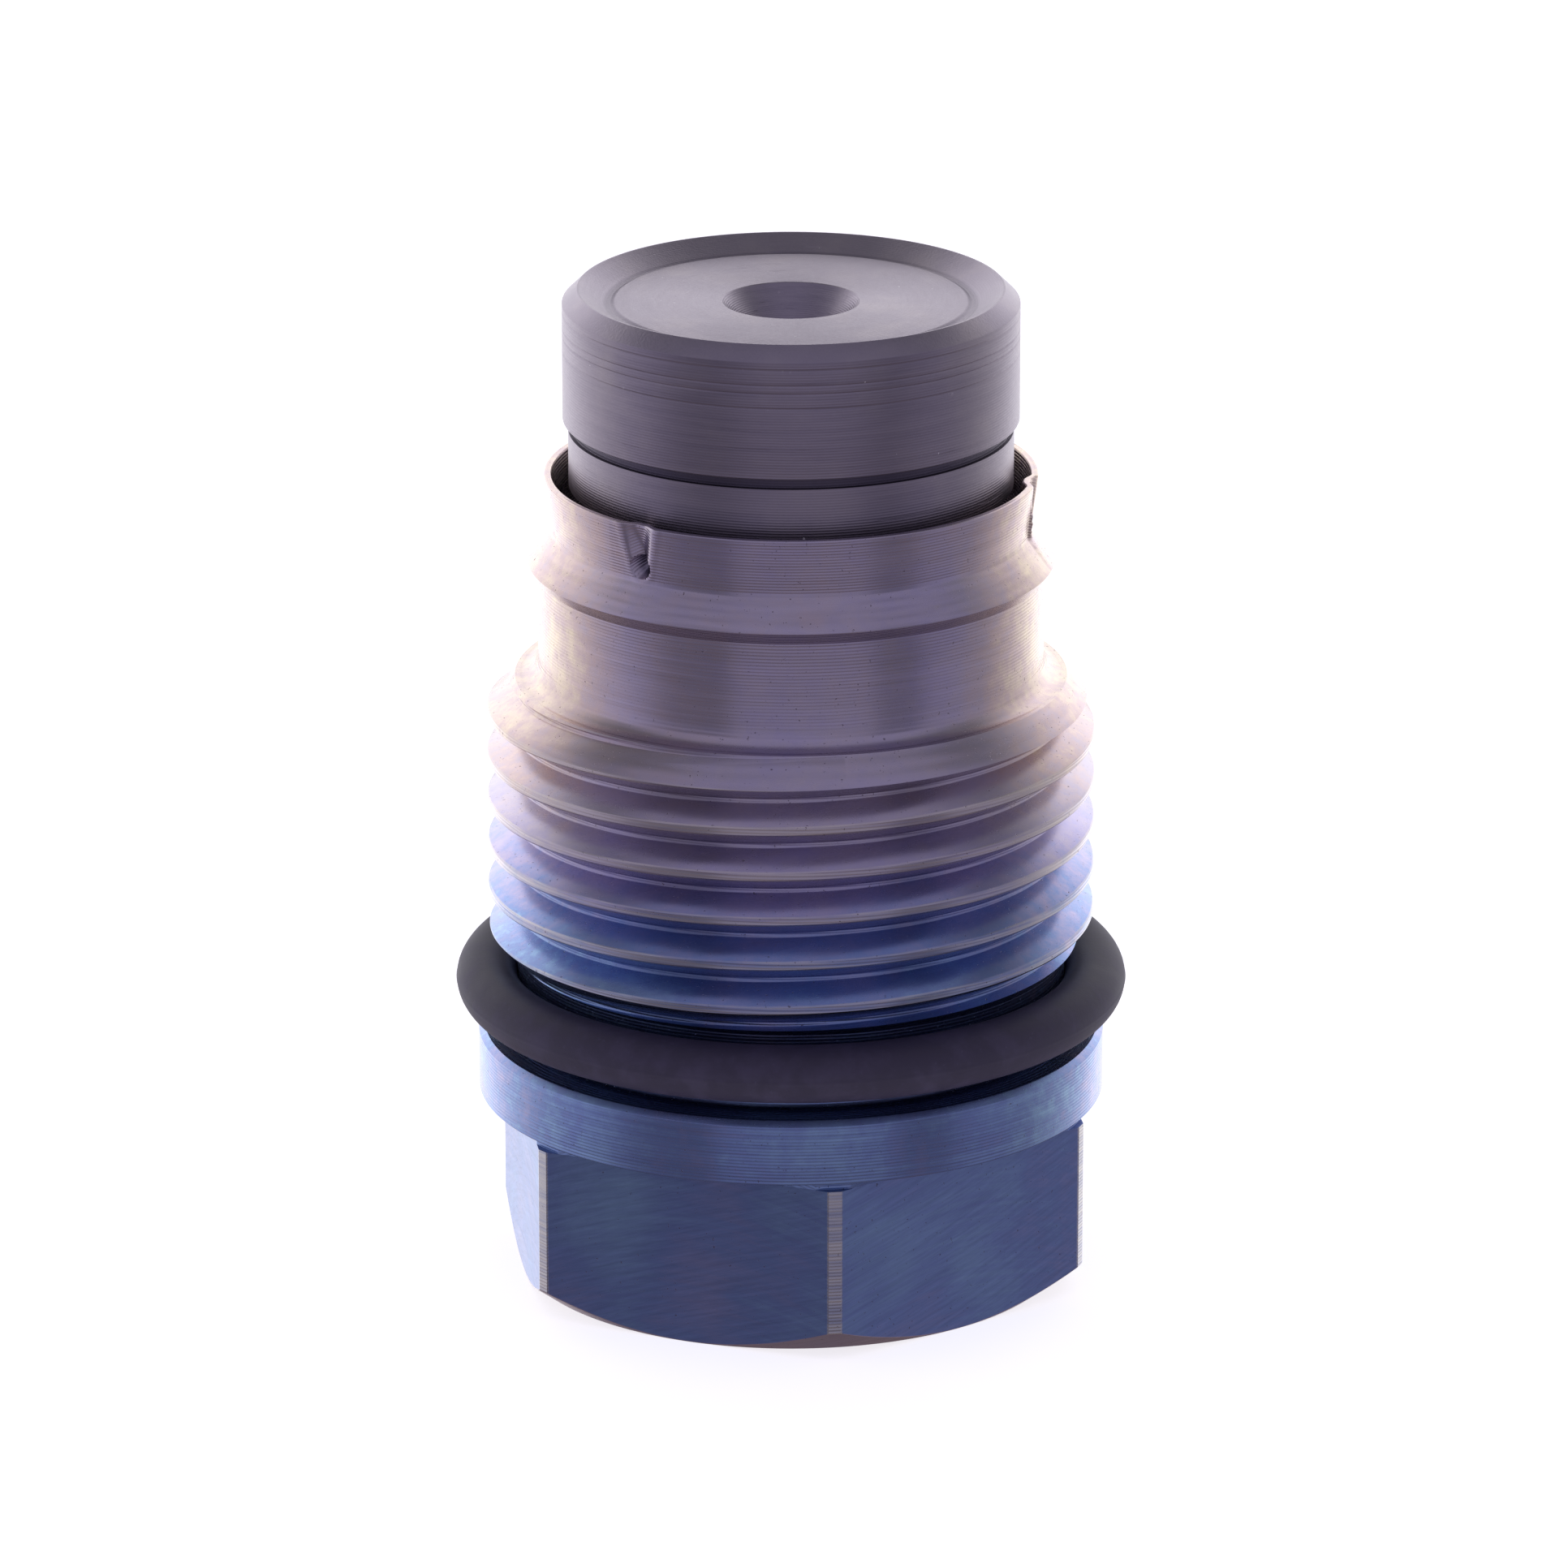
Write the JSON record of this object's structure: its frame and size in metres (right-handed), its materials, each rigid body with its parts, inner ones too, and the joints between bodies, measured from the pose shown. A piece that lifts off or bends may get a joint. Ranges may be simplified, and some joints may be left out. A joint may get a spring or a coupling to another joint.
{
  "type": "cartridge valve",
  "caption": "Screw-in pressure limiting valve cartridge with a wrench hexagon, O-ring flange, fine thread and a staked collar round a dark seat body.",
  "frame": {"origin": "centre of the hexagon's lower face, which the part stands on", "axes": "+Z along the valve's axis from the hexagon to the inlet end; one hexagon corner stands 7.9 degrees from -Y towards +X"},
  "size_m": [0.022, 0.022, 0.033],
  "materials": {
    "blued_steel": "turned steel with blue and straw heat tint",
    "phosphated_steel": "dark phosphated turned steel",
    "hardened_steel": "hardened and ground",
    "spring_steel": "oiled spring wire",
    "ground_steel": "ground",
    "nitrile_rubber": "smooth black rubber"
  },
  "bodies": {
    "housing_body": {"housing": "blued_steel", "stroke_stop": "hardened_steel", "adjusting_shim_thin": "ground_steel", "adjusting_shim_thick": "ground_steel", "compression_spring": "spring_steel"},
    "seal_ring": {"o_ring": "nitrile_rubber"},
    "seat_body": {"valve_seat_body": "phosphated_steel"},
    "piston": {"valve_piston": "hardened_steel", "spring_plate": "ground_steel"}
  },
  "joints": [
    {"name": "seat_body_slide", "type": "slide", "parent": "housing_body", "child": "seat_body", "axis": [0, 0, -1], "range_m": [0, 0.0002], "stiffness_N_per_m": 20000, "deforming": ["compression_spring"]},
    {"name": "valve_lift", "type": "slide", "parent": "seat_body", "child": "piston", "axis": [0, 0, -1], "range_m": [0, 0.0012], "stiffness_N_per_m": 3000, "deforming": ["compression_spring"]},
    {"name": "o_ring_slide", "type": "slide", "parent": "housing_body", "child": "seal_ring", "axis": [0, 0, -1], "range_m": [0, 0.0006]}
  ]
}
